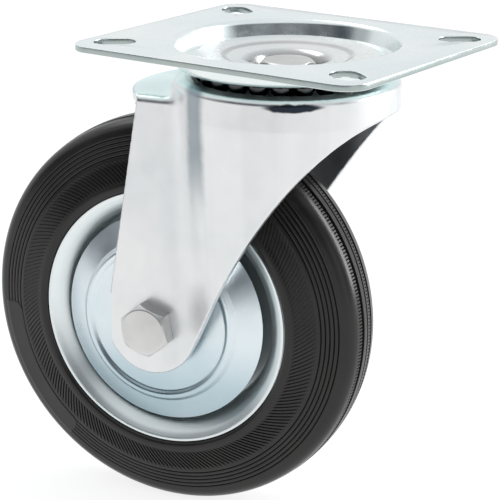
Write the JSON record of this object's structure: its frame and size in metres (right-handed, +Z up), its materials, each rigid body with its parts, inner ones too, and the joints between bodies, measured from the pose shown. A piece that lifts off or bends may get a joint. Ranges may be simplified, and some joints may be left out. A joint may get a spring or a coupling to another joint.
{
  "type": "swivel plate caster",
  "caption": "Swivel caster with a slotted mounting plate, a pressed steel fork and a solid rubber tyred wheel, for the moving end of a gate or trolley.",
  "frame": {"origin": "centre of the mounting plate's top face, on the swivel axis", "axes": "+Z up, out of the plate's mounting face and along the swivel axis; +X along the plate's long side, away from the wheel; the axle bolt's head is on the -Y side"},
  "size_m": [0.1909, 0.11, 0.195],
  "materials": {
    "zinc_plate": "satin blue zinc plating",
    "zinc_fork": "satin blue zinc plating",
    "zinc_guard": "satin blue zinc plating",
    "zinc_rim": "bright blue zinc plating",
    "zinc_fastener": "satin zinc plating",
    "bolt_steel": "dull zinc plating",
    "bearing_steel": "polished",
    "cage_steel": "oiled",
    "tyre_rubber": "matte"
  },
  "bodies": {
    "plate": {"top_plate": "zinc_plate", "kingpin_bolt": "bolt_steel", "kingpin_washer": "zinc_fastener", "kingpin_nut": "zinc_fastener", "lower_race": "zinc_plate"},
    "upper_ball_ring": {"upper_balls": "bearing_steel"},
    "lower_ball_ring": {"lower_balls": "bearing_steel"},
    "fork": {"fork": "zinc_fork", "axle_bolt": "bolt_steel", "axle_washer": "zinc_fastener", "axle_nut": "zinc_fastener", "bearing_sleeve": "bearing_steel", "spacer_near": "zinc_fastener", "spacer_far": "zinc_fastener", "thread_guard_near": "zinc_guard", "thread_guard_far": "zinc_guard"},
    "roller_set": {"roller_cage": "cage_steel", "rollers": "bearing_steel"},
    "wheel": {"hub_tube": "zinc_rim", "hub_ring_near": "zinc_fastener", "hub_ring_far": "zinc_fastener", "rim_half_near": "zinc_rim", "rim_half_far": "zinc_rim", "tyre": "tyre_rubber", "rim_rivet_1": "zinc_fastener", "rim_rivet_2": "zinc_fastener", "rim_rivet_3": "zinc_fastener", "rim_rivet_4": "zinc_fastener", "rim_rivet_5": "zinc_fastener", "rim_rivet_6": "zinc_fastener"}
  },
  "joints": [
    {"name": "swivel", "type": "hinge", "parent": "plate", "child": "fork", "pos_m": [0, 0, -0.0156], "axis": [0, 0, 1], "continuous": true},
    {"name": "wheel_spin", "type": "hinge", "parent": "fork", "child": "wheel", "pos_m": [-0.04545, -0.00883, -0.1138], "axis": [-0.1908, 0.9816, 0], "continuous": true},
    {"name": "upper_ball_roll", "type": "hinge", "parent": "plate", "child": "upper_ball_ring", "pos_m": [0, 0, -0.01145], "axis": [0, 0, 1], "continuous": true},
    {"name": "lower_ball_roll", "type": "hinge", "parent": "plate", "child": "lower_ball_ring", "pos_m": [0, 0, -0.02225], "axis": [0, 0, 1], "continuous": true},
    {"name": "roller_roll", "type": "hinge", "parent": "fork", "child": "roller_set", "pos_m": [-0.04545, -0.00883, -0.1138], "axis": [-0.1908, 0.9816, 0], "continuous": true}
  ],
  "couplings": [
    {"joint": "upper_ball_roll", "follows": "swivel", "ratio": 0.5},
    {"joint": "lower_ball_roll", "follows": "swivel", "ratio": 0.5},
    {"joint": "roller_roll", "follows": "wheel_spin", "ratio": 0.6}
  ]
}
